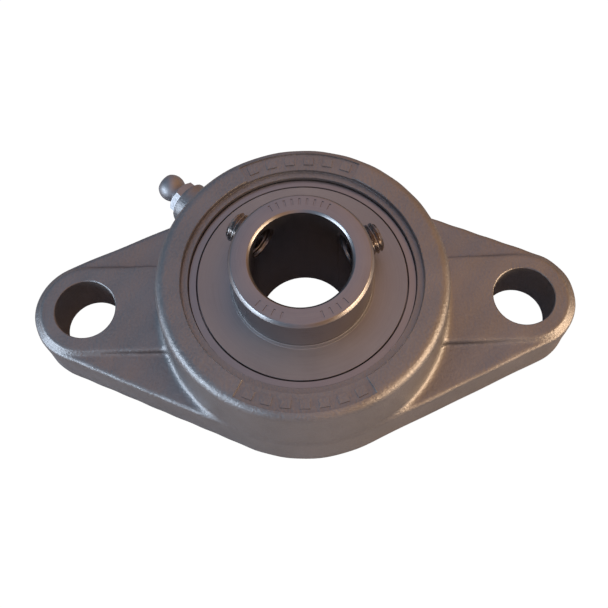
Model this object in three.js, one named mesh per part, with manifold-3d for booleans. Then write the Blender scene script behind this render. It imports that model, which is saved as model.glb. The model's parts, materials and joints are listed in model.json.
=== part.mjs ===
// Two-bolt flange bearing unit: a cast housing with a rhombus flange holds a self-aligning ball
// bearing, whose wide inner ring is locked to its shaft by two set screws.
// Millimetres. +Z is the shaft axis, out of the front; +X runs through the two bolt holes.
// The origin is on the mounting face, at the middle of the shaft hole.

import * as THREE from "three";
import { mergeVertices } from "three/addons/utils/BufferGeometryUtils.js";
import Module from "manifold-3d";

// Driving dimensions.
const shaftRadius = 9.525;
const rowHeight = 15;
const gap = 0.3;
const facets = 40;
const innerFacets = 32;

const flange = { thickness: 12, webThickness: 10.3, hubRadius: 29.5, earRadius: 11.1, padHalfWidth: 9.4 };
const bolt = { spacing: 90, holeRadius: 6.25 };
const hub = { height: 25.5, topRadius: 27.2, shoulderRadius: 28.3, rearRadius: 22.9 };
const mouth = { wallRadius: 22.15, ledgeHeight: 24.5, ledgeRadius: 23.3 };
const outer = { sphereRadius: 23.5, width: 17, landRadius: 19, sealRadius: 20.1, mouthRadius: 20.5 };
const seal = { foot: 4.75, top: 7, discLow: 5.85, discHigh: 6.4, holeRadius: 16 };
const slinger = { low: 7, hubHigh: 8.7, rimRadius: 20.15, rimLow: 8.05, thickness: 0.55 };
const inner = { rear: -12.7, front: 18.3, collarRadius: 13.5, shoulderRadius: 14.2, shoulderHalf: 6.5 };
const balls = { count: 8, radius: 3.969, pitchRadius: 16.75, play: 0.1 };
const cage = { innerRadius: 15.35, outerRadius: 18.15, thickness: 0.65, rivetRadius: 0.5, headRadius: 1 };
const screw = { radius: 3.175, length: 6, start: 10, height: 13.5, azimuths: [23, 143], socket: 3.175 };
const nipple = { azimuth: 136.5, faceRadius: 33, bossRadius: 4.5, threadRadius: 3, hexAcross: 6.9 };
const grease = { pocketEnd: 27.8, ductRadius: 1.25, ringHoleRadius: 0.55, ringHoleHeight: 4.1 };

// ---------------------------------------------------------------- helpers

const wasm = await Module();
wasm.setup();

const degrees = (angle) => THREE.MathUtils.degToRad(angle);
const point = (r, z) => new THREE.Vector2(r, z);

// Points of a circular arc in the (r, z) plane, both ends included.
function arc(centreR, centreZ, radius, startAngle, endAngle, steps) {
  const points = [];
  for (let i = 0; i <= steps; i++) {
    const angle = degrees(startAngle + ((endAngle - startAngle) * i) / steps);
    points.push(point(centreR + radius * Math.cos(angle), centreZ + radius * Math.sin(angle)));
  }
  return points;
}

// A body turned about Z. The profile's points are (r, z); one that starts off the axis closes on itself.
function turned(profile, segments = facets) {
  const points = [...profile];
  if (points[0].x > 0) points.push(points[0].clone());
  let area = 0;
  for (let i = 0; i < points.length; i++) {
    const next = points[(i + 1) % points.length];
    area += points[i].x * next.y - next.x * points[i].y;
  }
  if (area < 0) points.reverse();
  return new THREE.LatheGeometry(points, segments).rotateX(Math.PI / 2);
}

// Lays a body made along +Z along the spoke at the given azimuth and height.
function alongSpoke(geometry, azimuth, height) {
  return geometry.rotateY(Math.PI / 2).rotateZ(degrees(azimuth)).translate(0, 0, height);
}

function cylinder(radius, from, to, segments = 24) {
  const geometry = new THREE.CylinderGeometry(radius, radius, to - from, segments);
  return geometry.rotateX(Math.PI / 2).translate(0, 0, (from + to) / 2);
}

function box(x, y, z) {
  const geometry = new THREE.BoxGeometry(x[1] - x[0], y[1] - y[0], z[1] - z[0]);
  return geometry.translate((x[0] + x[1]) / 2, (y[0] + y[1]) / 2, (z[0] + z[1]) / 2);
}

function solid(geometry) {
  const bare = geometry.index ? geometry.toNonIndexed() : geometry.clone();
  bare.deleteAttribute("normal");
  bare.deleteAttribute("uv");
  const merged = mergeVertices(bare, 1e-4);
  const vertProperties = merged.attributes.position.array;
  const triVerts = new Uint32Array(merged.index.array);
  return new wasm.Manifold(new wasm.Mesh({ numProp: 3, vertProperties, triVerts }));
}

function geometryOf(body) {
  const mesh = body.getMesh();
  const geometry = new THREE.BufferGeometry();
  geometry.setAttribute("position", new THREE.BufferAttribute(mesh.vertProperties, 3));
  geometry.setIndex(new THREE.BufferAttribute(mesh.triVerts, 1));
  geometry.computeVertexNormals();
  return geometry;
}

const join = (geometries) => geometries.map(solid).reduce((a, b) => a.add(b));

// ---------------------------------------------------------------- materials

const finish = (color, roughness, metalness) =>
  new THREE.MeshStandardMaterial({ color, roughness, metalness });

const castSteel = finish(0x77737a, 0.55, 0.9);
const ringSteel = finish(0x86828a, 0.38, 1);
const sheetSteel = finish(0x7d7a84, 0.42, 1);
const ballSteel = finish(0xc9cacd, 0.12, 1);
const cageSteel = finish(0x9a938a, 0.4, 1);
const screwSteel = finish(0x5f5a5c, 0.35, 1);
const plated = finish(0xb9bdc4, 0.22, 1);
const rubber = finish(0x1b1b1d, 0.8, 0);

function part(name, geometry, material) {
  const mesh = new THREE.Mesh(geometry, material);
  mesh.name = name;
  return mesh;
}

// ---------------------------------------------------------------- housing

// Outline of the flange: the hub's circle and the two ears' circles, joined by tangent lines.
function flangeOutline(inset) {
  const hubRadius = flange.hubRadius - inset;
  const earRadius = flange.earRadius - inset;
  const half = bolt.spacing / 2;
  const lean = Math.acos((hubRadius - earRadius) / half);
  const outline = new THREE.Shape();
  outline.absarc(half, 0, earRadius, -lean, lean, false);
  outline.absarc(0, 0, hubRadius, lean, Math.PI - lean, false);
  outline.absarc(-half, 0, earRadius, Math.PI - lean, Math.PI + lean, false);
  outline.absarc(0, 0, hubRadius, Math.PI + lean, 2 * Math.PI - lean, false);
  outline.closePath();
  return outline;
}

// The plate, from z = 0, with its top edge rounded.
function web() {
  const round = 1.5;
  const plate = new THREE.ExtrudeGeometry(flangeOutline(round), {
    depth: flange.webThickness,
    bevelThickness: round,
    bevelSize: round,
    bevelSegments: 2,
    curveSegments: 10,
  });
  return solid(plate.translate(0, 0, -round)).subtract(belowFace());
}

// Everything below the mounting face.
const belowFace = () => solid(box([-80, 80], [-60, 60], [-20, 0]));

// The thick strip from one ear to the other, which the bolts bear on.
function pads() {
  const round = 1.4;
  const half = bolt.spacing / 2;
  const width = flange.padHalfWidth;
  const outline = new THREE.Shape();
  outline.absarc(half, 0, width, -Math.PI / 2, Math.PI / 2, false);
  outline.absarc(-half, 0, width, Math.PI / 2, (3 * Math.PI) / 2, false);
  outline.closePath();
  const strip = new THREE.ExtrudeGeometry(outline, {
    depth: flange.thickness - round,
    bevelThickness: round,
    bevelSize: round,
    bevelSegments: 2,
    curveSegments: 9,
  });
  return solid(strip).subtract(belowFace());
}

// The round hub, with a fillet at its foot over the pads.
function hubBody() {
  const wall = turned([
    point(0, 0),
    point(flange.hubRadius, 0),
    point(flange.hubRadius, flange.webThickness - 1),
    point(hub.shoulderRadius, hub.height - 1.6),
    point(hub.topRadius, hub.height),
    point(0, hub.height),
  ]);
  const foot = 2.2;
  const fillet = turned([
    point(0, 1),
    point(flange.hubRadius + foot, 1),
    point(flange.hubRadius + foot, flange.thickness),
    point(flange.hubRadius + foot * 0.25, flange.thickness + foot * 0.35),
    point(flange.hubRadius - 0.6, flange.thickness + foot),
    point(0, flange.thickness + foot),
  ]);
  const width = flange.padHalfWidth;
  const overPads = solid(box([-80, 80], [-width, width], [0, hub.height]));
  return solid(wall).add(solid(fillet).intersect(overPads));
}

// The lump on the hub that the grease nipple screws into: round on top, straight down to the plate.
function greaseBoss() {
  const round = 0.5;
  const start = 25;
  const radius = nipple.bossRadius - round;
  const outline = new THREE.Shape();
  outline.moveTo(rowHeight + 2, -radius);
  outline.absarc(0, 0, radius, -Math.PI / 2, Math.PI / 2, true);
  outline.lineTo(rowHeight + 2, radius);
  outline.closePath();
  const lump = new THREE.ExtrudeGeometry(outline, {
    depth: nipple.faceRadius - start - round,
    bevelThickness: round,
    bevelSize: round,
    bevelSegments: 2,
    curveSegments: 8,
  });
  const placed = alongSpoke(lump.translate(0, 0, start), nipple.azimuth, rowHeight);
  return solid(placed).subtract(belowFace());
}

// Everything the insert fills: the front mouth with its ledge, the spherical seat and the rear opening.
function seatCut() {
  const sphere = outer.sphereRadius + gap / 2;
  const rearReach = 22;
  const frontReach = THREE.MathUtils.radToDeg(Math.acos(mouth.wallRadius / sphere));
  return turned([
    point(0, -1),
    point(hub.rearRadius, -1),
    ...arc(0, rowHeight, sphere, -rearReach, frontReach, 6),
    point(mouth.wallRadius, mouth.ledgeHeight),
    point(mouth.ledgeRadius, mouth.ledgeHeight),
    point(mouth.ledgeRadius, hub.height + 1),
    point(0, hub.height + 1),
  ]);
}

// The two slots at the rear, through which the insert goes in edge-on before it is turned flat.
function loadingSlots() {
  const half = outer.width / 2 + gap;
  const round = cylinder(outer.sphereRadius + gap, -1, rowHeight, facets);
  return solid(round).intersect(solid(box([-40, 40], [-half, half], [-1, rowHeight])));
}

function housing() {
  let body = web().add(pads()).add(hubBody()).add(greaseBoss());
  body = body.subtract(solid(seatCut())).subtract(loadingSlots());
  for (const side of [-1, 1]) {
    const hole = cylinder(bolt.holeRadius, -1, flange.thickness + 4, 28);
    body = body.subtract(solid(hole.translate((side * bolt.spacing) / 2, 0, 0)));
  }
  const pocket = cylinder(nipple.threadRadius, grease.pocketEnd, nipple.faceRadius + 3, 20);
  const duct = cylinder(grease.ductRadius, 20, grease.pocketEnd + 1, 12);
  for (const cut of [pocket, duct]) {
    body = body.subtract(solid(alongSpoke(cut, nipple.azimuth, rowHeight)));
  }
  return part("housing", geometryOf(body), castSteel);
}

// ---------------------------------------------------------------- bearing rings

const raceRadius = balls.radius + balls.play;

// Angle from the row's plane at which the race reaches a given radius.
function raceEdge(radius) {
  const cosine = Math.abs(radius - balls.pitchRadius) / raceRadius;
  return THREE.MathUtils.radToDeg(Math.acos(cosine));
}

function outerRing() {
  const half = outer.width / 2;
  const sphere = outer.sphereRadius - gap / 2;
  const lean = THREE.MathUtils.radToDeg(Math.asin(half / sphere));
  const edge = raceEdge(outer.landRadius);
  const profile = [
    ...arc(0, 0, sphere, -lean, lean, 5),
    point(outer.mouthRadius, half),
    point(outer.mouthRadius, seal.top),
    point(outer.sealRadius, seal.top),
    point(outer.sealRadius, seal.foot),
    point(outer.landRadius, seal.foot),
    ...arc(balls.pitchRadius, 0, raceRadius, edge, -edge, 6),
    point(outer.landRadius, -seal.foot),
    point(outer.sealRadius, -seal.foot),
    point(outer.sealRadius, -seal.top),
    point(outer.mouthRadius, -seal.top),
    point(outer.mouthRadius, -half),
  ];
  let body = solid(turned(profile));
  for (const azimuth of [nipple.azimuth, nipple.azimuth + 180]) {
    const hole = cylinder(grease.ringHoleRadius, 15, 28, 8);
    body = body.subtract(solid(alongSpoke(hole, azimuth, grease.ringHoleHeight)));
  }
  return part("outer_ring", geometryOf(body), ringSteel);
}

function innerRing() {
  const chamfer = 0.6;
  const { collarRadius, shoulderRadius, shoulderHalf, front, rear } = inner;
  const edge = raceEdge(shoulderRadius);
  const profile = [
    point(shaftRadius + chamfer, rear),
    point(collarRadius - chamfer, rear),
    point(collarRadius, rear + chamfer),
    point(collarRadius, -shoulderHalf - 0.2),
    point(shoulderRadius, -shoulderHalf),
    ...arc(balls.pitchRadius, 0, raceRadius, 180 + edge, 180 - edge, 6),
    point(shoulderRadius, shoulderHalf),
    point(collarRadius, shoulderHalf + 0.2),
    point(collarRadius, front - chamfer),
    point(collarRadius - chamfer, front),
    point(shaftRadius + chamfer, front),
    point(shaftRadius, front - chamfer),
    point(shaftRadius, rear + chamfer),
  ];
  let body = solid(turned(profile));
  for (const azimuth of screw.azimuths) {
    const hole = cylinder(screw.radius + gap / 2, 5, 20, 20);
    body = body.subtract(solid(alongSpoke(hole, azimuth, screw.height)));
  }
  return part("inner_ring", geometryOf(body), ringSteel);
}

// ---------------------------------------------------------------- seals and slingers

// Adds a pair of turned pieces, one on each side of the ball row. Side 1 is the front.
function mirroredPair(name, profile, material, segments) {
  return [1, -1].map((side) => {
    const points = profile.map((p) => point(p.x, p.y * side));
    return part(`${name}_${side > 0 ? "front" : "rear"}`, turned(points, segments), material);
  });
}

// Steel ring that snaps into the outer ring and carries the rubber lip.
function sealCases() {
  const rim = outer.sealRadius - gap;
  return mirroredPair(
    "seal_case",
    [
      point(rim, seal.foot + 0.25),
      point(rim, seal.discHigh),
      point(seal.holeRadius, seal.discHigh),
      point(seal.holeRadius, seal.discLow),
      point(rim - 0.6, seal.discLow),
      point(rim - 0.6, seal.foot + 0.25),
    ],
    sheetSteel,
    innerFacets,
  );
}

function sealLips() {
  const lip = inner.shoulderRadius + 0.2;
  return mirroredPair(
    "seal_lip",
    [
      point(lip, 5.9),
      point(lip + 0.3, 5.3),
      point(lip + 0.7, 5.3),
      point(seal.holeRadius - gap, 5.75),
      point(seal.holeRadius - gap, 6.45),
      point(lip + 0.5, 6.45),
    ],
    rubber,
    innerFacets,
  );
}

// Dished washer that turns with the inner ring and throws dirt and water off the seal.
function slingers() {
  const seat = inner.collarRadius + 0.15;
  return mirroredPair(
    "slinger",
    [
      point(seat, slinger.low),
      point(seat + 0.55, slinger.low),
      point(slinger.rimRadius, slinger.rimLow),
      point(slinger.rimRadius, slinger.rimLow + slinger.thickness),
      point(seat + 0.85, slinger.low + slinger.thickness + 0.1),
      point(seat + 0.55, slinger.hubHigh),
      point(seat, slinger.hubHigh),
    ],
    sheetSteel,
    facets,
  );
}

// ---------------------------------------------------------------- balls and cage

const ballAzimuth = (index) => (index * 360) / balls.count;

function ballSet() {
  const pieces = [];
  for (let i = 0; i < balls.count; i++) {
    const sphere = new THREE.SphereGeometry(balls.radius - balls.play / 2, 12, 8).rotateX(Math.PI / 2);
    const ball = part(`ball_${i + 1}`, sphere, ballSteel);
    const angle = degrees(ballAzimuth(i));
    ball.position.set(balls.pitchRadius * Math.cos(angle), balls.pitchRadius * Math.sin(angle), 0);
    pieces.push(ball);
  }
  return pieces;
}

// A ball-sized sphere at every ball's place, for the cage's pockets.
function pocketSpheres(radius) {
  const spheres = [];
  for (let i = 0; i < balls.count; i++) {
    const sphere = new THREE.SphereGeometry(radius, 10, 7).rotateX(Math.PI / 2);
    spheres.push(sphere.translate(balls.pitchRadius, 0, 0).rotateZ(degrees(ballAzimuth(i))));
  }
  return join(spheres);
}

// One half of the ribbon cage: flat between the balls, bulged over each of them.
function cageHalf(name, side) {
  const pocket = balls.radius + gap;
  const low = 0.1;
  const ring = (high) => {
    const { innerRadius, outerRadius } = cage;
    const lower = [point(innerRadius, low), point(outerRadius, low)];
    const upper = [point(outerRadius, high), point(innerRadius, high)];
    return turned([...lower, ...upper], innerFacets);
  };
  let body = pocketSpheres(pocket + cage.thickness).intersect(solid(ring(6)));
  body = body.add(solid(ring(low + cage.thickness))).subtract(pocketSpheres(pocket));
  for (let i = 0; i < balls.count; i++) {
    const hole = cylinder(cage.rivetRadius + 0.2, -1, 2, 10).translate(balls.pitchRadius, 0, 0);
    body = body.subtract(solid(hole.rotateZ(degrees(ballAzimuth(i + 0.5)))));
  }
  const geometry = geometryOf(body);
  if (side < 0) geometry.rotateX(Math.PI);
  return part(name, geometry, cageSteel);
}

function rivets() {
  const pieces = [];
  const seat = 0.1 + cage.thickness + gap / 2;
  const top = seat + 0.5;
  for (let i = 0; i < balls.count; i++) {
    const shape = turned(
      [
        point(0, -top),
        point(cage.headRadius * 0.7, -top),
        point(cage.headRadius, -seat),
        point(cage.rivetRadius, -seat),
        point(cage.rivetRadius, seat),
        point(cage.headRadius, seat),
        point(cage.headRadius * 0.7, top),
        point(0, top),
      ],
      8,
    );
    const rivet = part(`cage_rivet_${i + 1}`, shape, cageSteel);
    const angle = degrees(ballAzimuth(i + 0.5));
    rivet.position.set(balls.pitchRadius * Math.cos(angle), balls.pitchRadius * Math.sin(angle), 0);
    pieces.push(rivet);
  }
  return pieces;
}

// ---------------------------------------------------------------- set screws

// Hexagon-socket screw with a cup point, made along +Z with its point at z = 0.
function setScrew(name) {
  const radius = screw.radius - gap / 2;
  const profile = [
    point(0, 0.7),
    point(1.3, 0),
    point(1.7, 0),
    point(radius, 0.9),
    point(radius, screw.length - 0.5),
    point(radius - 0.5, screw.length),
    point(0, screw.length),
  ];
  const socket = cylinder(screw.socket / Math.sqrt(3), screw.length - 2.4, screw.length + 1, 6);
  return part(name, geometryOf(solid(turned(profile, 20)).subtract(solid(socket))), screwSteel);
}

// A group whose +Z points outwards along the spoke at the given azimuth and height.
function spoke(azimuth, height, pieces) {
  const turnedOut = new THREE.Group();
  turnedOut.rotation.y = Math.PI / 2;
  turnedOut.add(...pieces);
  const swung = new THREE.Group();
  swung.rotation.z = degrees(azimuth);
  swung.position.z = height;
  swung.add(turnedOut);
  return swung;
}

function setScrews() {
  return screw.azimuths.map((azimuth, i) => {
    const piece = setScrew(`set_screw_${i + 1}`);
    piece.position.z = screw.start;
    return spoke(azimuth, screw.height, [piece]);
  });
}

// ---------------------------------------------------------------- grease nipple

// Made along +Z, measured from the shaft axis.
const valve = { throat: 0.6, chamber: 1.25, ballRadius: 0.95, ballAt: 37.4, tip: 39.6, end: 28 };
const head = { centre: 37.75, radius: 2.8 };

function greaseNipple() {
  const seat = nipple.faceRadius + gap;
  const shank = nipple.threadRadius - gap;
  const neck = 1.95;
  const hexHeight = 1.9;
  const outside = turned(
    [
      point(0, valve.end),
      point(shank - 0.5, valve.end),
      point(shank, valve.end + 0.6),
      point(shank, seat + 0.5),
      point(3.1, seat + 0.5),
      point(3.1, seat + hexHeight),
      point(neck, seat + hexHeight + 0.2),
      ...arc(0, head.centre, head.radius, -43, 40, 5),
      point(1.3, valve.tip),
      point(0, valve.tip),
    ],
    18,
  );
  const hexagon = cylinder(nipple.hexAcross / Math.sqrt(3), seat, seat + hexHeight - 0.1, 6);
  const bore = turned(
    [
      point(0, valve.end - 1),
      point(0.8, valve.end - 1),
      point(0.8, 31),
      point(valve.chamber, 31),
      point(valve.chamber, valve.ballAt + 0.2),
      point(valve.throat, valve.tip - 1),
      point(valve.throat, valve.tip + 1),
      point(0, valve.tip + 1),
    ],
    12,
  );
  const body = join([outside, hexagon]).subtract(solid(bore));
  return part("grease_nipple", geometryOf(body), plated);
}

class Helix extends THREE.Curve {
  constructor(radius, length, turns) {
    super();
    Object.assign(this, { radius, length, turns });
  }
  getPoint(t, target = new THREE.Vector3()) {
    const angle = 2 * Math.PI * this.turns * t;
    return target.set(this.radius * Math.cos(angle), this.radius * Math.sin(angle), this.length * t);
  }
}

function nippleSpring() {
  const turns = 4.5;
  const wire = new THREE.Shape().absarc(0, 0, 0.14, 0, 2 * Math.PI, false);
  const geometry = new THREE.ExtrudeGeometry(wire, {
    steps: turns * 8,
    curveSegments: 3,
    extrudePath: new Helix(0.82, 4.1, turns),
  });
  const spring = part("nipple_spring", geometry, ballSteel);
  spring.position.z = 31.5;
  return spring;
}

function checkBall() {
  const sphere = new THREE.SphereGeometry(valve.ballRadius, 12, 8);
  const ball = part("nipple_check_ball", sphere, ballSteel);
  ball.position.z = valve.ballAt;
  return ball;
}

// ---------------------------------------------------------------- assembly

const insert = new THREE.Group();
insert.position.z = rowHeight;
insert.add(outerRing(), innerRing(), ...sealCases(), ...sealLips(), ...slingers());
insert.add(...ballSet(), cageHalf("cage_front", 1), cageHalf("cage_rear", -1), ...rivets());
insert.add(...setScrews());

const unit = new THREE.Group();
unit.add(housing(), insert);
unit.add(spoke(nipple.azimuth, rowHeight, [greaseNipple(), nippleSpring(), checkBall()]));

export default unit;
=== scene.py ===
"""Looks of a two-bolt flange bearing unit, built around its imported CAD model.

Shapes are worked out in millimetres in the CAD's frame (+Z out of the front along the shaft, +X through
the two bolt holes, origin on the mounting face) and scaled to metres as each mesh is made.
"""

import json
import math

import bmesh
import bpy
import numpy as np
from mathutils import Matrix, Vector


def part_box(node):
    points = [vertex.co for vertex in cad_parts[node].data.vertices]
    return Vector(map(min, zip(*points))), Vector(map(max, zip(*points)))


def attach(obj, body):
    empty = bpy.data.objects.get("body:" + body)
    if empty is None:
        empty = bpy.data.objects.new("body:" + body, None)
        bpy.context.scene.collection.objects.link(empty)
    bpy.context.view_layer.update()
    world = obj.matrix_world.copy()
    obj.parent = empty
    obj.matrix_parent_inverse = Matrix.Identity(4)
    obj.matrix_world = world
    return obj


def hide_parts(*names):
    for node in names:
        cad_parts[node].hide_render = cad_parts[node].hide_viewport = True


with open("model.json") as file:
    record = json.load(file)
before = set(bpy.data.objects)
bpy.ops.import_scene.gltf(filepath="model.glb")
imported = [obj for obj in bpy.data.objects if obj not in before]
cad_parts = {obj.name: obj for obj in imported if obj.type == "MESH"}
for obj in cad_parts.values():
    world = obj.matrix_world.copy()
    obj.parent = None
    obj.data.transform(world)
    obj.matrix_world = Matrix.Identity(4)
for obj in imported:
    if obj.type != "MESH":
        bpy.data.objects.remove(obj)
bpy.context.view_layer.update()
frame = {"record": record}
scene = bpy.context.scene
MM = 0.001

# ---------------------------------------------------------------- places taken from the CAD frame

joints = {joint["name"]: joint for joint in frame["record"]["behaviour"]["joints"]}
mounts = {mount["name"]: mount for mount in frame["record"]["mounts"]}


def azimuth_of(direction):
    """Angle around Z, in degrees, of a direction in the XY plane."""
    return math.degrees(math.atan2(direction[1], direction[0]))


ROW_HEIGHT = joints["insert_tilt"]["pos_m"][2] / MM
BOLT_X = mounts["bolt_seat_right"]["pos_m"][0] / MM
PAD_HEIGHT = mounts["bolt_seat_right"]["pos_m"][2] / MM
COLLAR_FRONT = mounts["collar_face"]["pos_m"][2] / MM - ROW_HEIGHT
COLLAR_REAR = mounts["rear_ring_face"]["pos_m"][2] / MM - ROW_HEIGHT
HUB_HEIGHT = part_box("housing")[1].z / MM
PITCH_RADIUS = math.hypot(*joints["ball_1_spin"]["pos_m"][:2]) / MM
BALL_COUNT = sum(name.startswith("ball_") for name in joints)
SCREW_AZIMUTHS = [azimuth_of(joints[f"set_screw_{i}_travel"]["axis"]) for i in (1, 2)]
SCREW_HEIGHT = (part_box("set_screw_1")[0].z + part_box("set_screw_1")[1].z) / 2 / MM - ROW_HEIGHT
NIPPLE_AZIMUTH = azimuth_of(joints["nipple_valve"]["axis"]) + 180

# ---------------------------------------------------------------- driving dimensions

SHAFT_RADIUS = 9.525
BOLT_HOLE_RADIUS = 6.25

WEB_RADIUS = 29.6
EAR_RADIUS = 11.0
WEB_NEAR_HUB = 10.3
WEB_AT_EARS = 11.1
WEB_RISE_START = 26
WEB_RISE_END = 46
PAD_HALF_WIDTH = 9.5
DRAFT = math.tan(math.radians(1.5))
HUB_DRAFT = math.tan(math.radians(2.9))
HUB_TOP_RADIUS = 28.25
SEAT_RADIUS = 23.6
REAR_RADIUS = 22.9
MOUTH_RADIUS = 22.0
LEDGE_RADIUS = 23.3
LEDGE_HEIGHT = 24.5
HUB_EDGE_RADIUS = 1.8
HUB_FOOT_FILLET = 1.6
HUB_SIDE_FILLET = 0.3
FLANGE_EDGE_RADIUS = 1.0
PAD_EDGE_RADIUS = 0.8
PAD_FOOT_FILLET = 0.7
CAST_WAVINESS = 0.035

PANEL_DEPTH = 0.3
PANEL_RADIUS = 25.3
PANEL_OUTER = 26.9
PANEL_FLARE = 0.25
# Azimuth of the middle, half the angle covered and number of bars, for each panel.
PANELS = ((-90, 28.9, 7), (90, 26.5, 6))
PANEL_END_MARGIN = 5
BAR_LENGTH = 1.9
BAR_WIDTH = 2.1
BAR_HEIGHT = 0.22

BOSS_FACE = 33.0
BOSS_RADIUS = 4.5
BOSS_ROOT = 24
BOSS_EDGE_RADIUS = 0.4
BOSS_FILLET = 1.2

OUTER_SPHERE_RADIUS = 23.5
OUTER_HALF_WIDTH = 8.5
COLLAR_RADIUS = 13.5
SHOULDER_RADIUS = 14.2
SHOULDER_HALF = 6.5
SEAL_FOOT = 4.75

# Azimuth of the middle, half the angle covered and number of dashes, for each row on the collar.
DASH_ROWS = ((90, 28, 9), (-120, 12, 4), (-60, 12, 4))
DASH_RADIUS = 11.7
DASH_LENGTH = 1.5
DASH_WIDTH = 0.5
DASH_DEPTH = 0.16

BALL_RADIUS = 3.969
RACE_RADIUS = 4.1

SCREW_START = 10.0
SCREW_LENGTH = 6.0
SCREW_RADIUS = 3.0
SCREW_PITCH = 0.907
SCREW_SOCKET = 3.175
SCREW_SOCKET_DEPTH = 2.4

NIPPLE_HEX_ACROSS = 6.9
NIPPLE_HEX_HEIGHT = 2.1
NIPPLE_HEX_TURN = 12
NIPPLE_HEAD_RADIUS = 2.85
NIPPLE_HEAD_CENTRE = 37.75
NIPPLE_SHANK_RADIUS = 2.65

# ---------------------------------------------------------------- mesh helpers


def new_object(name, points, faces):
    """A new object from points in millimetres and lists of corner indices, facing outwards."""
    mesh = bpy.data.meshes.new(name)
    mesh.from_pydata((np.asarray(points) * MM).tolist(), [], faces)
    work = bmesh.new()
    work.from_mesh(mesh)
    bmesh.ops.recalc_face_normals(work, faces=work.faces)
    work.to_mesh(mesh)
    work.free()
    obj = bpy.data.objects.new(name, mesh)
    scene.collection.objects.link(obj)
    return obj


def rounded(corners, steps=5):
    """Points of a closed (r, z) outline whose corners (r, z, radius) are rounded by their radius."""
    points = []
    count = len(corners)
    for i, (r, z, radius) in enumerate(corners):
        corner = np.array([r, z], float)
        if radius == 0:
            points.append(corner)
            continue
        before = np.array(corners[i - 1][:2], float) - corner
        after = np.array(corners[(i + 1) % count][:2], float) - corner
        before /= np.linalg.norm(before)
        after /= np.linalg.norm(after)
        half = math.acos(np.clip(before @ after, -1, 1)) / 2
        middle = before + after
        middle /= np.linalg.norm(middle)
        centre = corner + middle * radius / math.sin(half)
        start = corner + before * radius / math.tan(half) - centre
        end = corner + after * radius / math.tan(half) - centre
        sweep = math.pi - 2 * half
        for k in range(steps + 1):
            a = math.sin(sweep * (1 - k / steps)) / math.sin(sweep)
            b = math.sin(sweep * k / steps) / math.sin(sweep)
            points.append(centre + start * a + end * b)
    return points


def arc(centre, radius, start, end, steps):
    """Points of an arc in the (r, z) plane; angles in degrees from the r axis."""
    angles = np.radians(np.linspace(start, end, steps + 1))
    return [np.array([centre[0] + radius * math.cos(a), centre[1] + radius * math.sin(a)]) for a in angles]


def lathe(name, profile, segments=160, thread=None):
    """A body turned about Z from a closed (r, z) profile. thread(angle, z), if given, limits its radius."""
    points = []
    rings = []
    angles = np.linspace(0, 2 * math.pi, segments, endpoint=False)
    for r, z in profile:
        start = len(points)
        if r < 1e-6:
            points.append((0, 0, z))
            rings.append([start] * segments)
            continue
        radii = np.full(segments, float(r))
        if thread is not None:
            radii = np.minimum(radii, thread(angles, z))
        points += [(radius * math.cos(t), radius * math.sin(t), z) for radius, t in zip(radii, angles)]
        rings.append(list(range(start, start + segments)))
    faces = []
    for i, lower in enumerate(rings):
        upper = rings[(i + 1) % len(rings)]
        for k in range(segments):
            m = (k + 1) % segments
            corners = []
            for index in (lower[k], lower[m], upper[m], upper[k]):
                if index not in corners:
                    corners.append(index)
            if len(corners) > 2:
                faces.append(corners)
    return new_object(name, points, faces)


def box(name, low, high):
    """A plain block, for cutting."""
    points = [(x, y, z) for x in (low[0], high[0]) for y in (low[1], high[1]) for z in (low[2], high[2])]
    faces = [(0, 1, 3, 2), (4, 6, 7, 5), (0, 4, 5, 1), (2, 3, 7, 6), (0, 2, 6, 4), (1, 5, 7, 3)]
    return new_object(name, points, faces)


def prism(name, across, low, high):
    """A hexagonal bar along Z, measured across its flats, two of which face along X."""
    angles = [math.radians(60 * k + 30) for k in range(6)]
    radius = across / math.sqrt(3)
    ring = [(radius * math.cos(a), radius * math.sin(a)) for a in angles]
    points = [(x, y, z) for z in (low, high) for x, y in ring]
    sides = [(k, (k + 1) % 6, (k + 1) % 6 + 6, k + 6) for k in range(6)]
    return new_object(name, points, [tuple(range(5, -1, -1)), tuple(range(6, 12)), *sides])


def bars(name, azimuths, radius, length, width, low, high):
    """Plain blocks along spokes, a little smaller at the height high than at the height low."""
    points = []
    faces = []
    for azimuth in azimuths:
        angle = math.radians(azimuth)
        first = len(points)
        for z, trim in ((low, 0.0), (high, 0.1)):
            for along, across in ((-1, -1), (1, -1), (1, 1), (-1, 1)):
                r = radius + along * (length / 2 - trim)
                t = across * (width / 2 - trim)
                x = r * math.cos(angle) - t * math.sin(angle)
                y = r * math.sin(angle) + t * math.cos(angle)
                points.append((x, y, z))
        for corners in ((3, 2, 1, 0), (4, 5, 6, 7), (0, 1, 5, 4), (1, 2, 6, 5), (2, 3, 7, 6), (3, 0, 4, 7)):
            faces.append([first + c for c in corners])
    return new_object(name, points, faces)


def combined(obj, other, operation="DIFFERENCE"):
    """Cuts, joins or intersects obj with other, which is used up."""
    modifier = obj.modifiers.new("boolean", "BOOLEAN")
    modifier.object = other
    modifier.operation = operation
    modifier.solver = "MANIFOLD"
    depsgraph = bpy.context.evaluated_depsgraph_get()
    mesh = bpy.data.meshes.new_from_object(obj.evaluated_get(depsgraph))
    obj.modifiers.clear()
    obj.data = mesh
    bpy.data.objects.remove(other)
    return obj


def moved(obj, x=0.0, y=0.0, z=0.0):
    """Shifts obj's mesh by millimetres."""
    obj.data.transform(Matrix.Translation((x * MM, y * MM, z * MM)))
    return obj


def along_spoke(obj, azimuth, height):
    """Turns a body made along +Z so that it points outwards along a spoke."""
    turn = Matrix.Rotation(math.radians(azimuth), 4, "Z") @ Matrix.Rotation(math.pi / 2, 4, "Y")
    obj.data.transform(Matrix.Translation((0, 0, height * MM)) @ turn)
    return obj


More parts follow.
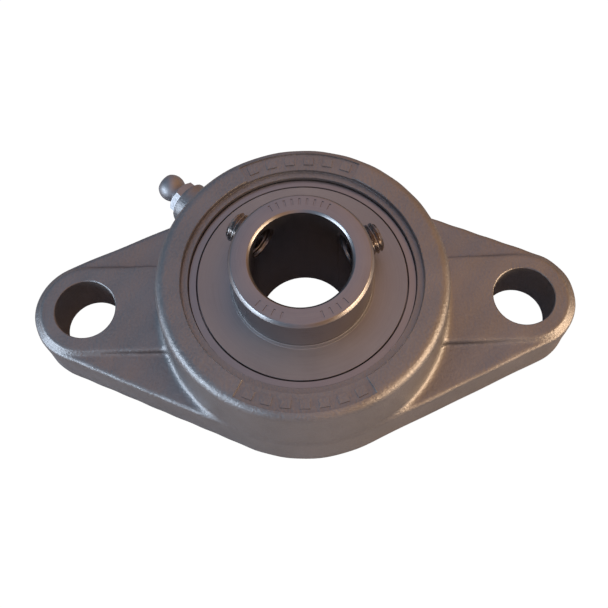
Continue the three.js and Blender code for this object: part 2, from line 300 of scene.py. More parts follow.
def mirrored(obj, name):
    """A copy of obj on the other side of the ball row's plane."""
    copy = bpy.data.objects.new(name, obj.data.copy())
    scene.collection.objects.link(copy)
    flip = Matrix.Translation((0, 0, 2 * ROW_HEIGHT * MM)) @ Matrix.Scale(-1, 4, (0, 0, 1))
    copy.data.transform(flip)
    copy.data.flip_normals()
    return copy


def piece(obj, body, nodes, material, crease=32):
    """Finishes a piece: what it rides on, what it stands for, its material and its smooth shading."""
    obj.data.shade_smooth()
    obj.data.set_sharp_from_angle(angle=math.radians(crease))
    obj.data.materials.clear()
    obj.data.materials.append(material)
    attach(obj, body)
    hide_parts(*nodes)
    return obj


# ---------------------------------------------------------------- materials


class Nodes:
    """A short way to write a node tree."""

    def __init__(self, name):
        self.material = bpy.data.materials.new(name)
        self.material.use_nodes = True
        self.tree = self.material.node_tree
        self.shader = self.tree.nodes["Principled BSDF"]
        self.place = self.add("ShaderNodeTexCoord").outputs["Object"]

    def add(self, kind, **settings):
        node = self.tree.nodes.new(kind)
        for key, value in settings.items():
            setattr(node, key, value)
        return node

    def link(self, source, target):
        self.tree.links.new(source, target)

    def math(self, operation, *values):
        node = self.add("ShaderNodeMath", operation=operation)
        for socket, value in zip(node.inputs, values):
            if isinstance(value, (int, float)):
                socket.default_value = value
            else:
                self.link(value, socket)
        return node.outputs[0]

    def noise(self, size, detail=3.0, roughness=0.55, place=None):
        """Noise whose lumps are about size millimetres across."""
        node = self.add("ShaderNodeTexNoise")
        node.inputs["Scale"].default_value = 1 / (size * MM)
        node.inputs["Detail"].default_value = detail
        node.inputs["Roughness"].default_value = roughness
        self.link(self.place if place is None else place, node.inputs["Vector"])
        return node.outputs["Fac"]

    def around_axis(self):
        """Coordinates that hardly change around Z, so that a noise of them makes turning marks."""
        split = self.add("ShaderNodeSeparateXYZ")
        self.link(self.place, split.inputs[0])
        x, y, z = split.outputs
        squares = [self.math("MULTIPLY", side, side) for side in (x, y)]
        radius = self.math("SQRT", self.math("ADD", *squares))
        join = self.add("ShaderNodeCombineXYZ")
        self.link(radius, join.inputs[0])
        self.link(self.math("MULTIPLY", self.math("ARCTAN2", y, x), 0.0004), join.inputs[1])
        self.link(z, join.inputs[2])
        return join.outputs[0]

    def between(self, factor, low, high, start=0.3, end=0.7):
        """Maps a factor between start and end to a number between low and high."""
        node = self.add("ShaderNodeMapRange")
        self.link(factor, node.inputs["Value"])
        node.inputs["From Min"].default_value = start
        node.inputs["From Max"].default_value = end
        node.inputs["To Min"].default_value = low
        node.inputs["To Max"].default_value = high
        return node.outputs["Result"]

    def blend(self, factor, first, second):
        node = self.add("ShaderNodeMix", data_type="RGBA")
        self.link(factor, node.inputs["Factor"])
        for socket, value in ((node.inputs[6], first), (node.inputs[7], second)):
            if isinstance(value, tuple):
                socket.default_value = (*value, 1)
            else:
                self.link(value, socket)
        return node.outputs[2]

    def bump(self, height, depth, strength=1.0, below=None):
        """Relief of the given depth in millimetres, on top of another bump."""
        node = self.add("ShaderNodeBump")
        node.inputs["Strength"].default_value = strength
        node.inputs["Distance"].default_value = depth * MM
        self.link(height, node.inputs["Height"])
        if below is not None:
            self.link(below, node.inputs["Normal"])
        return node.outputs["Normal"]

    def finish(self, colour, roughness, normal, metallic=1.0):
        """Joins the results to the shader and gives back the material."""
        self.link(colour, self.shader.inputs["Base Color"])
        self.link(roughness, self.shader.inputs["Roughness"])
        self.link(normal, self.shader.inputs["Normal"])
        self.shader.inputs["Metallic"].default_value = metallic
        return self.material


def cast_steel():
    """Bead-blasted casting: an even matt grain, with faint waves and clouds of tone."""
    n = Nodes("cast_steel")
    clouds = n.noise(9, detail=4)
    grain = n.noise(0.5, detail=3)
    tone = n.blend(n.between(clouds, 0, 1), (0.315, 0.305, 0.31), (0.375, 0.36, 0.37))
    speckled = n.blend(n.between(grain, 0, 0.5, 0.35, 0.75), tone, (0.46, 0.445, 0.45))
    mixed = n.math("ADD", n.math("MULTIPLY", grain, 0.6), n.math("MULTIPLY", clouds, 0.4))
    waves = n.bump(n.noise(3.2, detail=2), 0.05)
    return n.finish(speckled, n.between(mixed, 0.42, 0.56), n.bump(grain, 0.11, 0.9, waves))


def turned_steel(name, dark, light, low, high, marks=0.004):
    """Machined steel with fine turning marks around the shaft axis."""
    n = Nodes(name)
    around = n.around_axis()
    rings = n.noise(0.22, detail=3, place=around)
    clouds = n.noise(6, detail=3)
    tone = n.blend(n.between(clouds, 0, 1), dark, light)
    fine = n.blend(n.between(rings, 0, 0.35), tone, tuple(min(1.0, c * 1.25) for c in light))
    mixed = n.math("ADD", n.math("MULTIPLY", rings, 0.5), n.math("MULTIPLY", clouds, 0.5))
    soft = n.bump(n.noise(0.5, detail=2), 0.012, 0.6)
    return n.finish(fine, n.between(mixed, low, high), n.bump(rings, marks, 1.0, soft))


def plain_metal(name, dark, light, low, high, size, depth):
    """Metal with an even fine grain."""
    n = Nodes(name)
    grain = n.noise(size, detail=3)
    clouds = n.noise(size * 12, detail=3)
    colour = n.blend(n.between(clouds, 0, 1), dark, light)
    return n.finish(colour, n.between(grain, low, high), n.bump(grain, depth))


def seal_rubber():
    """Black rubber with a little dust on it."""
    n = Nodes("seal_rubber")
    grain = n.noise(0.3, detail=3)
    dust = n.noise(3, detail=4)
    colour = n.blend(n.between(dust, 0, 1, 0.45, 0.8), (0.018, 0.018, 0.02), (0.05, 0.048, 0.05))
    return n.finish(colour, n.between(grain, 0.55, 0.8), n.bump(grain, 0.02), metallic=0.0)


CAST = cast_steel()
RING = turned_steel("ring_steel", (0.335, 0.32, 0.33), (0.39, 0.375, 0.385), 0.26, 0.40)
SHEET = turned_steel("sheet_steel", (0.41, 0.40, 0.415), (0.465, 0.455, 0.47), 0.50, 0.62, marks=0.002)
BALL = plain_metal("ball_steel", (0.52, 0.52, 0.54), (0.58, 0.58, 0.60), 0.05, 0.12, 0.4, 0.0006)
CAGE = plain_metal("cage_steel", (0.36, 0.34, 0.31), (0.42, 0.40, 0.37), 0.30, 0.45, 0.35, 0.004)
SCREW = plain_metal("screw_steel", (0.34, 0.31, 0.30), (0.42, 0.39, 0.38), 0.18, 0.30, 0.3, 0.003)
PLATED = plain_metal("plated_steel", (0.44, 0.43, 0.45), (0.50, 0.49, 0.51), 0.46, 0.58, 0.35, 0.004)
RUBBER = seal_rubber()

# ---------------------------------------------------------------- housing


def fillet_union(a, b, radius):
    """Joins two distance fields with a round fillet of the given radius between them."""
    near = np.hypot(np.maximum(radius - a, 0), np.maximum(radius - b, 0))
    return np.maximum(radius, np.minimum(a, b)) - near


def smooth_step(value, start, end):
    """Rises smoothly from 0 at start to 1 at end."""
    t = np.clip((value - start) / (end - start), 0, 1)
    return t * t * (3 - 2 * t)


def flange_outline(x, y, inset):
    """Distance to the web's and the ears' circles joined by tangent lines, moved in by inset."""
    along = np.abs(x)
    across = np.abs(y)
    slope = (WEB_RADIUS - EAR_RADIUS) / BOLT_X
    lean = math.sqrt(1 - slope * slope)
    reach = lean * along - slope * across
    at_hub = np.hypot(along, across) - WEB_RADIUS
    at_ear = np.hypot(along - BOLT_X, across) - EAR_RADIUS
    between = slope * along + lean * across - WEB_RADIUS
    return np.where(reach < 0, at_hub, np.where(reach > lean * BOLT_X, at_ear, between)) + inset


def rounded_overlap(a, b, radius):
    """What two distance fields share, with the edge where they meet rounded off."""
    a = a + radius
    b = b + radius
    return np.minimum(np.maximum(a, b), 0) + np.hypot(np.maximum(a, 0), np.maximum(b, 0)) - radius


def housing_distance(x, y, z):
    """Distance to the casting's outer skin, as cast and before machining."""
    rise = smooth_step(np.abs(x), WEB_RISE_START, WEB_RISE_END)
    web_top = WEB_NEAR_HUB + (WEB_AT_EARS - WEB_NEAR_HUB) * rise
    beyond = np.maximum(np.abs(x) - BOLT_X, 0)
    strip = np.hypot(beyond, y) - PAD_HALF_WIDTH + (z - PAD_HEIGHT) * DRAFT
    pad = rounded_overlap(strip, z - PAD_HEIGHT, PAD_EDGE_RADIUS)
    top = fillet_union(z - web_top, pad, PAD_FOOT_FILLET)

    wall = np.hypot(x, y) - HUB_TOP_RADIUS - (HUB_HEIGHT - z) * HUB_DRAFT
    hub = rounded_overlap(wall, z - HUB_HEIGHT, HUB_EDGE_RADIUS)
    upper = fillet_union(top, hub, HUB_FOOT_FILLET)
    plate = rounded_overlap(upper, flange_outline(x, y, z * DRAFT), FLANGE_EDGE_RADIUS)
    body = fillet_union(plate, hub, HUB_SIDE_FILLET)

    # The boss is round above the nipple's axis and straight-sided below it, down to the mounting face.
    out = (math.cos(math.radians(NIPPLE_AZIMUTH)), math.sin(math.radians(NIPPLE_AZIMUTH)))
    along = x * out[0] + y * out[1]
    across = x * out[1] - y * out[0]
    bulge = np.hypot(across, np.maximum(z - ROW_HEIGHT, 0)) - BOSS_RADIUS
    boss = rounded_overlap(bulge, along - BOSS_FACE, BOSS_EDGE_RADIUS)
    body = fillet_union(body, np.maximum(boss, BOSS_ROOT - along), BOSS_FILLET)

    waves = np.sin(x * 0.31 + 1.3) * np.sin(y * 0.27 + z * 0.35)
    ripples = np.sin(x * 0.83 - y * 0.71 + z * 0.6 + 0.4)
    return body + CAST_WAVINESS * (waves + ripples)


def surface_of(distance, low, high, step):
    """Points and quads of the zero surface of a distance function, closed below by a flat plane.

    Each grid cell that the surface passes through gets one point, at the mean of the crossings on the
    cell's edges, and each grid edge that it crosses gets one quad between the four cells around it.
    """
    axes = [np.arange(a, b + step, step) for a, b in zip(low, high)]
    grid = np.meshgrid(*axes, indexing="ij")
    # The closing plane lies between two of the grid's planes, so no grid point falls on it.
    field = np.maximum(distance(*grid), axes[2][1] + 0.31 * step - grid[2])
    cells = tuple(n - 1 for n in field.shape)
    total = [np.zeros(np.prod(cells)) for _ in range(3)]
    crossings = np.zeros(np.prod(cells))
    quads = []
    for axis in range(3):
        first = tuple(slice(0, -1) if k == axis else slice(None) for k in range(3))
        second = tuple(slice(1, None) if k == axis else slice(None) for k in range(3))
        edges = np.argwhere((field[first] < 0) != (field[second] < 0))
        a = field[first][tuple(edges.T)]
        b = field[second][tuple(edges.T)]
        place = edges.astype(float)
        place[:, axis] += a / (a - b)
        corners = []
        for back in ((0, 0), (1, 0), (1, 1), (0, 1)):
            cell = edges.copy()
            cell[:, (axis + 1) % 3] -= back[0]
            cell[:, (axis + 2) % 3] -= back[1]
            index = np.ravel_multi_index(tuple(cell.T), cells)
            corners.append(index)
            crossings += np.bincount(index, minlength=len(crossings))
            for k in range(3):
                total[k] += np.bincount(index, weights=place[:, k], minlength=len(crossings))
        quad = np.stack(corners, 1)
        quad[b < a] = quad[b < a][:, ::-1]
        quads.append(quad)
    used = np.flatnonzero(crossings)
    number = np.zeros(len(crossings), int)
    number[used] = np.arange(len(used))
    points = np.stack([total[k][used] / crossings[used] for k in range(3)], 1) * step
    points += np.array([axis[0] for axis in axes])
    free = points[:, 2] > axes[2][1] + step
    points[free] = pulled_onto(distance, points[free])
    return points, number[np.concatenate(quads)]


def pulled_onto(distance, points):
    """Moves points onto the zero surface along the field's own slope, in three Newton steps."""
    tiny = 0.01
    least_slope = 0.5
    for _ in range(3):
        here = distance(*points.T)
        slope = np.stack([distance(*(points + tiny * e).T) - here for e in np.eye(3)], 1) / tiny
        points = points - slope * (here / np.maximum((slope**2).sum(1), least_slope**2))[:, None]
    return points


def seat_cutter():
    """Everything the insert fills: front mouth with its ledge, spherical seat and rear opening."""
    rear_reach = math.degrees(math.acos(REAR_RADIUS / SEAT_RADIUS))
    front_reach = math.degrees(math.acos(MOUTH_RADIUS / SEAT_RADIUS))
    chamfer, bevel, edge, past = 0.6, 0.06, 0.05, 2
    profile = [
        (0, -past),
        (REAR_RADIUS + chamfer + past, -past),
        (REAR_RADIUS, chamfer),
        *arc((0, ROW_HEIGHT), SEAT_RADIUS, -rear_reach, front_reach, 16),
        (MOUTH_RADIUS, LEDGE_HEIGHT - bevel),
        (MOUTH_RADIUS + bevel, LEDGE_HEIGHT),
        (LEDGE_RADIUS - edge, LEDGE_HEIGHT),
        (LEDGE_RADIUS, LEDGE_HEIGHT + edge),
        (LEDGE_RADIUS, HUB_HEIGHT - edge),
        (LEDGE_RADIUS + edge, HUB_HEIGHT),
        (LEDGE_RADIUS + edge + past, HUB_HEIGHT + past),
        (0, HUB_HEIGHT + past),
    ]
    return lathe("seat_cutter", profile, 224)


def loading_slots():
    """The two slots at the rear, through which the insert goes in edge-on before it is turned flat."""
    half = OUTER_HALF_WIDTH + 0.3
    radius = SEAT_RADIUS + 0.15
    bore = lathe("slot_bore", [(0, -1), (radius, -1), (radius, ROW_HEIGHT), (0, ROW_HEIGHT)], 224)
    return combined(bore, box("slot_sides", (-40, -half, -1), (40, half, ROW_HEIGHT)), "INTERSECT")


def bolt_hole(side):
    """Cutter for the bolt hole on one side, with a small chamfer at each end."""
    edge, past = 0.18, 2
    profile = [
        (0, -past),
        (BOLT_HOLE_RADIUS + edge + past, -past),
        (BOLT_HOLE_RADIUS, edge),
        (BOLT_HOLE_RADIUS, PAD_HEIGHT - edge),
        (BOLT_HOLE_RADIUS + edge + past, PAD_HEIGHT + past),
        (0, PAD_HEIGHT + past),
    ]
    return moved(lathe("bolt_hole", profile, 96), x=side * BOLT_X)


def panel_cutter(middle, half_angle):
    """Cutter for a shallow panel on the hub's face, open to the mouth, with sloping sides."""
    floor = HUB_HEIGHT - PANEL_DEPTH
    top = HUB_HEIGHT + 1
    inner = LEDGE_RADIUS - 0.5
    points = []
    for z in (floor, top):
        flare = PANEL_FLARE * (z - floor)
        reach = half_angle + math.degrees(flare / PANEL_RADIUS)
        angles = np.radians(np.linspace(middle - reach, middle + reach, 49))
        for radius, turn in ((PANEL_OUTER + flare, angles), (inner, angles[::-1])):
            points += [(radius * math.cos(a), radius * math.sin(a), z) for a in turn]
    count = len(points) // 2
    sides = [(k, (k + 1) % count, (k + 1) % count + count, k + count) for k in range(count)]
    caps = [tuple(range(count - 1, -1, -1)), tuple(range(count, 2 * count))]
    return new_object("panel_cutter", points, sides + caps)


def nipple_pocket():
    """Cutter for the nipple's hole in the boss, chamfered at its mouth, and the grease duct behind it."""
    duct, hole, chamfer, past = 1.25, 2.9, 0.3, 0.7
    profile = [
        (0, 20),
        (duct, 20),
        (duct, 27.4),
        (hole, 28.4),
        (hole, BOSS_FACE - chamfer),
        (hole + chamfer + past, BOSS_FACE + past),
        (0, BOSS_FACE + past),
    ]
    return along_spoke(lathe("nipple_pocket", profile, 48), NIPPLE_AZIMUTH, ROW_HEIGHT)


def make_housing():
    """The casting's skin, then its machined faces and holes, then the panels and their bars."""
    margin = 1.5
    low = (-BOLT_X - EAR_RADIUS - margin, -WEB_RADIUS - margin, -margin)
    high = (BOLT_X + EAR_RADIUS + margin, WEB_RADIUS + margin, HUB_HEIGHT + margin)
    points, quads = surface_of(housing_distance, low, high, 0.42)
    casting = new_object("cast_housing", points, quads.tolist())
    combined(casting, box("below", (-80, -60, -6), (80, 60, 0)))
    combined(casting, seat_cutter())
    combined(casting, loading_slots())
    for side in (-1, 1):
        combined(casting, bolt_hole(side))
    floor = HUB_HEIGHT - PANEL_DEPTH
    heights = (floor - 0.3, floor + BAR_HEIGHT)
    for middle, half_angle, count in PANELS:
        combined(casting, panel_cutter(middle, half_angle))
        reach = half_angle - PANEL_END_MARGIN
        turns = np.linspace(middle - reach, middle + reach, count)
        combined(casting, bars("panel_bars", turns, PANEL_RADIUS, BAR_LENGTH, BAR_WIDTH, *heights), "UNION")
    combined(casting, nipple_pocket())
    return piece(casting, "housing", ["housing"], CAST, crease=28)


# ---------------------------------------------------------------- bearing rings


def race_angle(radius):
    """Angle from the ball row's plane at which the race reaches a given radius."""
    return math.degrees(math.acos(abs(radius - PITCH_RADIUS) / RACE_RADIUS))


def make_outer_ring():
    """Spherical outside, a groove for the balls, a recess for each seal and two grease holes."""
    half = OUTER_HALF_WIDTH
    mouth, recess, land, step = 20.45, 20.1, 19, 7
    sphere_end = half - 0.12
    face_radius = math.sqrt(OUTER_SPHERE_RADIUS**2 - sphere_end**2)
    lean = math.degrees(math.asin(sphere_end / OUTER_SPHERE_RADIUS))
    edge = race_angle(land)
    upper = [(face_radius - 0.1, half), (mouth + 0.1, half), (mouth, half - 0.1), (mouth, step)]
    upper += [(recess, step), (recess, SEAL_FOOT + 0.1), (recess - 0.1, SEAL_FOOT)]
    upper += [(land + 0.15, SEAL_FOOT), (land, SEAL_FOOT - 0.15)]
    lower = [(r, -z) for r, z in reversed(upper)]
    profile = [*arc((0, 0), OUTER_SPHERE_RADIUS, -lean, lean, 28), *upper]
    profile += [*arc((PITCH_RADIUS, 0), RACE_RADIUS, edge, -edge, 18), *lower]
    ring = moved(lathe("outer_race", profile, 192), z=ROW_HEIGHT)
    for azimuth in (NIPPLE_AZIMUTH, NIPPLE_AZIMUTH + 180):
        hole = lathe("grease_hole", [(0, 15), (0.55, 15), (0.55, 28), (0, 28)], 24)
        combined(ring, along_spoke(hole, azimuth, ROW_HEIGHT + 4.1))
    return piece(ring, "outer_ring", ["outer_ring"], RING)


def screw_thread(crest, root, z_shift=0.0):
    """Radius of a thread at an angle and a height: flat crests, sloping flanks, narrow roots."""

    def radius(angle, z):
        turn = np.mod((z + z_shift) / SCREW_PITCH - angle / (2 * math.pi), 1)
        flank = np.clip(np.abs(turn - 0.5) * 2.5 - 0.2, 0, 1)
        return crest - (crest - root) * flank

    return radius


def make_inner_ring():
    """Wide ring with the ball groove, the collar at each end, two tapped holes and rows of dashes."""
    edge = race_angle(SHOULDER_RADIUS)
    front, rear, bore, collar = COLLAR_FRONT, COLLAR_REAR, SHAFT_RADIUS, COLLAR_RADIUS
    outline = rounded(
        [
            (bore, rear + 0.6, 0.2),
            (bore + 0.6, rear, 0.15),
            (collar - 0.6, rear, 0.2),
            (collar, rear + 0.6, 0.2),
            (collar, -SHOULDER_HALF - 0.4, 0),
            (SHOULDER_RADIUS, -SHOULDER_HALF, 0),
            *((r, z, 0) for r, z in arc((PITCH_RADIUS, 0), RACE_RADIUS, 180 + edge, 180 - edge, 18)),
            (SHOULDER_RADIUS, SHOULDER_HALF, 0),
            (collar, SHOULDER_HALF + 0.4, 0),
            (collar, front - 0.7, 0.35),
            (collar - 0.55, front, 0.2),
            (bore + 0.45, front, 0.15),
            (bore, front - 0.45, 0.2),
        ]
    )
    ring = moved(lathe("wide_inner_race", outline, 192), z=ROW_HEIGHT)
    for azimuth in SCREW_AZIMUTHS:
        thread = screw_thread(SCREW_RADIUS + 0.4, SCREW_RADIUS + 0.06)
        heights = np.arange(6, 17, SCREW_PITCH / 12)
        profile = [(0, heights[0]), *((9, z) for z in heights), (0, heights[-1])]
        hole = lathe("screw_hole", profile, 72, thread)
        combined(ring, along_spoke(hole, azimuth, ROW_HEIGHT + SCREW_HEIGHT))
    face = ROW_HEIGHT + COLLAR_FRONT
    heights = (face + 0.2, face - DASH_DEPTH)
    turns = []
    for middle, half_angle, count in DASH_ROWS:
        turns += list(np.linspace(middle - half_angle, middle + half_angle, count))
    combined(ring, bars("collar_dashes", turns, DASH_RADIUS, DASH_LENGTH, DASH_WIDTH, *heights))
    return piece(ring, "inner_ring", ["inner_ring"], RING)


# ---------------------------------------------------------------- seals and slingers


def make_seals():
    """Steel cases pressed into the outer ring, with a rubber lip moulded to each, on both sides."""
    rim, hole, low, high = 19.95, 16, 5.85, 6.4
    sheet = high - low
    foot = SEAL_FOOT + 0.15
    case = [(rim, foot, 0.1), (rim, high, 0.45), (hole, high, 0.1), (hole, low, 0.1)]
    case += [(rim - sheet, low, 0.15), (rim - sheet, foot, 0.1)]
    tip, edge = SHOULDER_RADIUS + 0.16, hole - 0.05
    lip = [(tip, 5.95, 0.05), (tip + 0.3, 5.3, 0.12), (tip + 0.8, 5.3, 0.2)]
    lip += [(edge, 5.7, 0.1), (edge, 6.5, 0.15), (tip + 0.6, 6.5, 0.25)]
    for name, node, outline, slot, material in (
        ("shield_case", "seal_case", case, "sheet_steel", SHEET),
        ("shield_lip", "seal_lip", lip, "seal_rubber", RUBBER),
    ):
        front = moved(lathe(f"{name}_front", rounded(outline), 144), z=ROW_HEIGHT)
        rear = mirrored(front, f"{name}_rear")
        piece(front, "outer_ring", [f"{node}_front"], material)
        piece(rear, "outer_ring", [f"{node}_rear"], material)


def make_slingers():
    """Dished washers that turn with the inner ring, one outside each seal."""
    seat = COLLAR_RADIUS + 0.03
    rim = 20.28
    outline = [
        (seat, 7.0, 0.05),
        (seat + 0.6, 7.0, 0.3),
        (seat + 0.75, 7.25, 0.3),
        (rim, 8.0, 0.1),
        (rim, 8.6, 0.12),
        (seat + 0.4, 7.85, 0.15),
        (seat + 0.12, 8.68, 0.05),
        (seat, 8.75, 0.03),
    ]
    front = moved(lathe("flinger_front", rounded(outline), 192), z=ROW_HEIGHT)
    rear = mirrored(front, "flinger_rear")
    piece(front, "inner_ring", ["slinger_front"], SHEET)
    piece(rear, "inner_ring", ["slinger_rear"], SHEET)


# ---------------------------------------------------------------- balls and cage


def row_place(index):
    """Where a ball sits in the row; halves lie midway between two balls."""
    angle = 2 * math.pi * index / BALL_COUNT
    return {"x": PITCH_RADIUS * math.cos(angle), "y": PITCH_RADIUS * math.sin(angle), "z": ROW_HEIGHT}


def make_balls():
    for i in range(BALL_COUNT):
        ball = lathe(f"ground_ball_{i + 1}", arc((0, 0), BALL_RADIUS - 0.02, -90, 90, 32), 64)
        moved(ball, **row_place(i))
        piece(ball, f"ball_{i + 1}", [f"ball_{i + 1}"], BALL)


def soft_maximum(a, b, width):
    """The larger of two heights, with a rounded meeting."""
    h = np.maximum(width - np.abs(a - b), 0) / width
    return np.maximum(a, b) + h * h * width / 4


def make_cage():
    """Two pressed ribbons, bulged over each ball and joined by a rivet between each two balls."""
    inner, outer, thickness, low = 15.4, 18.1, 0.62, 0.12
    around, across = 512, 8
    angle = np.linspace(0, 2 * math.pi, around, endpoint=False)
    radius = np.linspace(inner, outer, across + 1)
    t, r = np.meshgrid(angle, radius, indexing="ij")
    step = 2 * math.pi / BALL_COUNT
    nearest = t - step * np.round(t / step)
    off_centre = r**2 + PITCH_RADIUS**2 - 2 * r * PITCH_RADIUS * np.cos(nearest)

    def sheet(flat, bulge):
        dome = np.sqrt(np.maximum(bulge**2 - off_centre, 0))
        return soft_maximum(np.full_like(dome, flat), dome, 0.5)

    layers = [sheet(low, BALL_RADIUS + 0.25), sheet(low + thickness, BALL_RADIUS + 0.25 + thickness)]
    points = [np.stack([r * np.cos(t), r * np.sin(t), z], -1).reshape(-1, 3) for z in layers]
    per_layer = around * (across + 1)

    def index(i, j, layer):
        return layer * per_layer + (i % around) * (across + 1) + j

    faces = []
    for i in range(around):
        for j in range(across):
            for layer in (0, 1):
                square = [(i, j), (i + 1, j), (i + 1, j + 1), (i, j + 1)]
                faces.append([index(a, b, layer) for a, b in square])
        for j in (0, across):
            faces.append([index(i, j, 0), index(i + 1, j, 0), index(i + 1, j, 1), index(i, j, 1)])
    ribbon = moved(new_object("ribbon_front", np.concatenate(points), faces), z=ROW_HEIGHT)
    for i in range(BALL_COUNT):
        hole = lathe("rivet_hole", [(0, -1), (0.62, -1), (0.62, 3), (0, 3)], 24)
        combined(ribbon, moved(hole, **row_place(i + 0.5)))
    rear = mirrored(ribbon, "ribbon_rear")
    piece(ribbon, "cage", ["cage_front"], CAGE)
    piece(rear, "cage", ["cage_rear"], CAGE)

    top = low + thickness + 0.04
    dome = [(0.0, top + 0.62), (0.35, top + 0.58), (0.7, top + 0.42), (0.95, top + 0.16), (1.0, top)]
    half = [*dome, (0.56, top)]
    profile = half + [(r, -z) for r, z in reversed(half)]
    for i in range(BALL_COUNT):
        rivet = moved(lathe(f"rivet_{i + 1}", profile, 28), **row_place(i + 0.5))
        piece(rivet, "cage", [f"cage_rivet_{i + 1}"], CAGE)


# ---------------------------------------------------------------- set screws


def make_set_screw(number, azimuth):
    """Threaded screw with a cup point and a hexagon socket, made along +Z with its point at z = 0."""
    reach = SCREW_RADIUS
    thread = screw_thread(reach, reach - 0.55)
    heights = np.arange(0.75, SCREW_LENGTH - 0.45, SCREW_PITCH / 14)
    profile = [(0, 0.75), (1.35, 0.06), (1.55, 0), (1.8, 0.05), (reach - 0.5, 0.5)]
    profile += [(reach + 0.5, z) for z in heights]
    profile += [(reach - 0.4, SCREW_LENGTH - 0.08), (reach - 0.55, SCREW_LENGTH), (0, SCREW_LENGTH)]
    screw = lathe(f"socket_screw_{number}", profile, 96, thread)
    top = SCREW_LENGTH
    foot = top - SCREW_SOCKET_DEPTH
    combined(screw, prism("socket", SCREW_SOCKET, foot, top + 1))
    combined(screw, lathe("socket_drill", [(0, foot - 0.7), (1.5, foot + 0.05), (0, foot + 0.1)], 48))
    mouth = [(0, top - 0.45), (1.5, top - 0.25), (2.0, top + 0.25), (0, top + 0.3)]
    combined(screw, lathe("socket_mouth", mouth, 48))
    moved(screw, z=SCREW_START)
    along_spoke(screw, azimuth, ROW_HEIGHT + SCREW_HEIGHT)
    node = f"set_screw_{number}"
    return piece(screw, node, [node], SCREW, crease=40)


# ---------------------------------------------------------------- grease nipple


def make_nipple():
    """Ball-headed grease nipple: shank, chamfered hexagon, neck and head, with a bore through it."""
    seat = BOSS_FACE + 0.02
    top = seat + NIPPLE_HEX_HEIGHT
    corner = 4.0
    shank, collar, tip = NIPPLE_SHANK_RADIUS, NIPPLE_SHANK_RADIUS + 0.25, 39.6
    hexagon = prism("hexagon", NIPPLE_HEX_ACROSS, seat, top)
    blank = [(0, seat), (corner - 0.1, seat), (corner, seat + 0.1)]
    blank += [(corner, top - 0.9), (3.0, top), (0, top)]
    combined(hexagon, lathe("hexagon_blank", blank, 96), "INTERSECT")
    hexagon.data.transform(Matrix.Rotation(math.radians(NIPPLE_HEX_TURN), 4, "Z"))
    body = [(0, 28.3), (2.1, 28.3), (shank, 28.9), (shank, seat + 0.5)]
    body += [(collar, seat + 0.5), (collar, top - 0.05), (2.3, top + 0.12), (1.95, top + 0.45)]
    body += arc((0, NIPPLE_HEAD_CENTRE), NIPPLE_HEAD_RADIUS, -43, 40, 20)
    body += [(1.75, tip + 0.06), (1.3, tip + 0.1), (0.95, tip), (0, tip)]
    nipple = combined(lathe("lube_fitting", body, 96), hexagon, "UNION")
    bore = [(0, 27), (0.8, 27), (0.8, 31), (1.25, 31), (1.25, 37.6), (0.6, 38.6)]
    bore += [(0.6, 39.3), (0.95, 39.9), (0, 39.9)]
    combined(nipple, lathe("nipple_bore", bore, 48))
    along_spoke(nipple, NIPPLE_AZIMUTH, ROW_HEIGHT)
    return piece(nipple, "housing", ["grease_nipple"], PLATED)


def make_nipple_valve():
    """The check ball behind the nipple's mouth, and the coil spring that holds it there."""
    ball = moved(lathe("check_ball", arc((0, 0), 0.95, -90, 90, 20), 40), z=37.4)
    along_spoke(ball, NIPPLE_AZIMUTH, ROW_HEIGHT)
    piece(ball, "nipple_check_ball", ["nipple_check_ball"], BALL)

    start, length, turns, coil, wire = 31.5, 4.5, 5.5, 0.85, 0.14
    per_turn, sides = 24, 10
    count = int(turns * per_turn)
    points = []
    for i in range(count + 1):
        share = i / count
        angle = 2 * math.pi * turns * share
        height = start + wire + (length - 2 * wire) * share
        out = Vector((math.cos(angle), math.sin(angle), 0))
        for k in range(sides):
            turn = 2 * math.pi * k / sides
            spot = out * (coil + wire * math.cos(turn)) + Vector((0, 0, height + wire * math.sin(turn)))
            points.append(tuple(spot))
    faces = [tuple(range(sides)), tuple(range(count * sides, (count + 1) * sides))]
    for i in range(count):
        for k in range(sides):
            m = (k + 1) % sides
            faces.append((i * sides + k, i * sides + m, (i + 1) * sides + m, (i + 1) * sides + k))
    spring = along_spoke(new_object("valve_spring", points, faces), NIPPLE_AZIMUTH, ROW_HEIGHT)
    piece(spring, "housing", ["nipple_spring"], BALL)


# ---------------------------------------------------------------- camera, light and floor


def make_camera():
    """Looks down steeply from the -Y side, turned and rolled a little. Angles are in degrees."""
    distance, elevation, azimuth, roll = 177.6, 67.756, 2.245, -3.832
    target = Vector((0.09, -1.594, ROW_HEIGHT))
    e, a, r = (math.radians(v) for v in (elevation, azimuth, roll))
    back = Vector((math.sin(a) * math.cos(e), -math.cos(a) * math.cos(e), math.sin(e)))
    right = Vector((math.cos(a), math.sin(a), 0))
    up = back.cross(right)
    turned_right = math.cos(r) * right + math.sin(r) * up
    turned_up = math.cos(r) * up - math.sin(r) * right
    data = bpy.data.cameras.new("camera")
    data.sensor_width = 36
    data.lens = 52.38
    data.clip_start = 0.01
    data.clip_end = 50
    camera = bpy.data.objects.new("camera", data)
    rotation = Matrix((turned_right, turned_up, back)).transposed().to_4x4()
    camera.matrix_world = Matrix.Translation((target + back * distance) * MM) @ rotation
    scene.collection.objects.link(camera)
    scene.camera = camera


def soft_light(name, place, width, height, power, colour):
    """A rectangular light that faces the unit, sized and placed in metres."""
    data = bpy.data.lights.new(name, "AREA")
    data.shape = "RECTANGLE"
    data.size = width
    data.size_y = height
    data.energy = power
    data.color = colour
    light = bpy.data.objects.new(name, data)
    light.location = place
    aim = Vector((0, 0, ROW_HEIGHT * MM)) - Vector(place)
    light.rotation_euler = aim.to_track_quat("-Z", "Y").to_euler()
    scene.collection.objects.link(light)


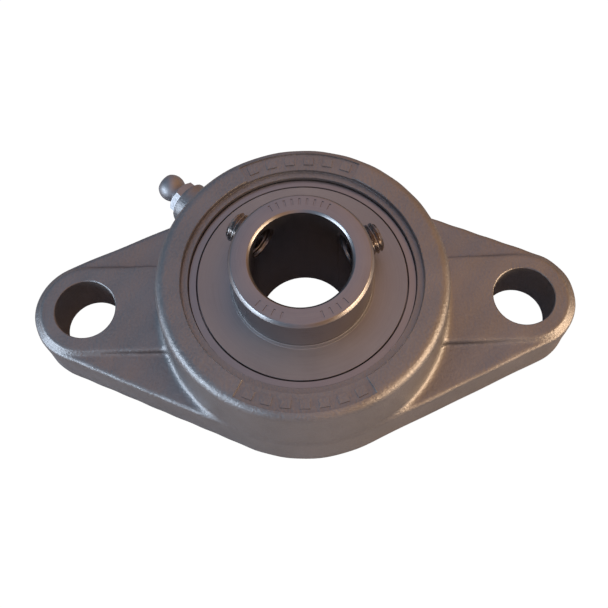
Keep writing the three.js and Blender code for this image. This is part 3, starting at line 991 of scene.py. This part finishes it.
def make_world():
    """A dim room, cool on the left and warm on the right, darker below."""
    world = bpy.data.worlds.new("room")
    scene.world = world
    world.use_nodes = True
    tree = world.node_tree
    place = tree.nodes.new("ShaderNodeTexCoord")
    split = tree.nodes.new("ShaderNodeSeparateXYZ")
    tree.links.new(place.outputs["Generated"], split.inputs[0])
    side = tree.nodes.new("ShaderNodeMapRange")
    side.inputs["From Min"].default_value = -1
    tree.links.new(split.outputs[0], side.inputs["Value"])
    tint = tree.nodes.new("ShaderNodeValToRGB")
    tree.links.new(side.outputs["Result"], tint.inputs["Fac"])
    cool, warm = tint.color_ramp.elements
    cool.position = 0.35
    cool.color = (0.165, 0.24, 0.325, 1)
    warm.position = 0.65
    warm.color = (0.545, 0.315, 0.175, 1)
    middle = tint.color_ramp.elements.new(0.5)
    middle.color = (0.49, 0.39, 0.435, 1)
    height = tree.nodes.new("ShaderNodeMapRange")
    height.inputs["From Min"].default_value = -0.4
    height.inputs["From Max"].default_value = 0.9
    height.inputs["To Min"].default_value = 0.55
    height.inputs["To Max"].default_value = 1.1
    tree.links.new(split.outputs[2], height.inputs["Value"])
    background = tree.nodes["Background"]
    tree.links.new(tint.outputs["Color"], background.inputs["Color"])
    tree.links.new(height.outputs["Result"], background.inputs["Strength"])


def make_floor():
    """A white floor that curves up into a far backdrop, and a table that lights the unit from below.

    The floor glows so that it reads as even white, and only the camera sees it. The camera doesn't see
    the table, which only throws light back onto the unit.
    """
    reach, bend = 2.6 / MM, 0.9 / MM
    low = -0.6
    curve = [(r, z) for r, z in arc((reach, bend + low), bend, -90, 0, 12)]
    profile = [(0, low), (0.4 / MM, low), *curve, (reach + bend, 2.2 / MM), (reach + bend + 20, 2.2 / MM)]
    profile += [(reach + bend + 20, low - 20), (0, low - 20)]
    floor = lathe("floor", profile, 96)
    floor.data.shade_smooth()
    n = Nodes("floor_paint")
    paper = n.noise(4, detail=3)
    colour = n.blend(n.between(paper, 0, 1), (0.90, 0.90, 0.90), (0.93, 0.93, 0.93))
    n.finish(colour, n.between(paper, 0.7, 0.85), n.bump(paper, 0.01), metallic=0.0)
    n.shader.inputs["Emission Color"].default_value = (1, 1, 1, 1)
    n.shader.inputs["Emission Strength"].default_value = 1.03
    floor.data.materials.append(n.material)
    floor.visible_glossy = False
    floor.visible_diffuse = False
    floor.visible_shadow = False

    table = lathe("table", [(0, -0.4), (1.5 / MM, -0.4), (1.5 / MM, -5), (0, -5)], 96)
    n = Nodes("table_paint")
    paper = n.noise(4, detail=3)
    colour = n.blend(paper, (0.60, 0.60, 0.61), (0.64, 0.64, 0.65))
    n.finish(colour, n.between(paper, 0.7, 0.85), n.bump(paper, 0.01), metallic=0.0)
    table.data.materials.append(n.material)
    table.visible_camera = False


make_camera()
make_world()
make_floor()
soft_light("cool_side", (-0.57, -0.265, 0.17), 0.5, 0.14, 2.1, (0.72, 0.86, 1.0))
soft_light("warm_side", (0.585, -0.21, 0.15), 0.46, 0.12, 2.3, (1.0, 0.74, 0.48))
scene.view_settings.view_transform = "Standard"

make_housing()
make_outer_ring()
make_inner_ring()
make_seals()
make_slingers()
make_balls()
make_cage()
for screw_number, screw_azimuth in enumerate(SCREW_AZIMUTHS, 1):
    make_set_screw(screw_number, screw_azimuth)
make_nipple()
make_nipple_valve()
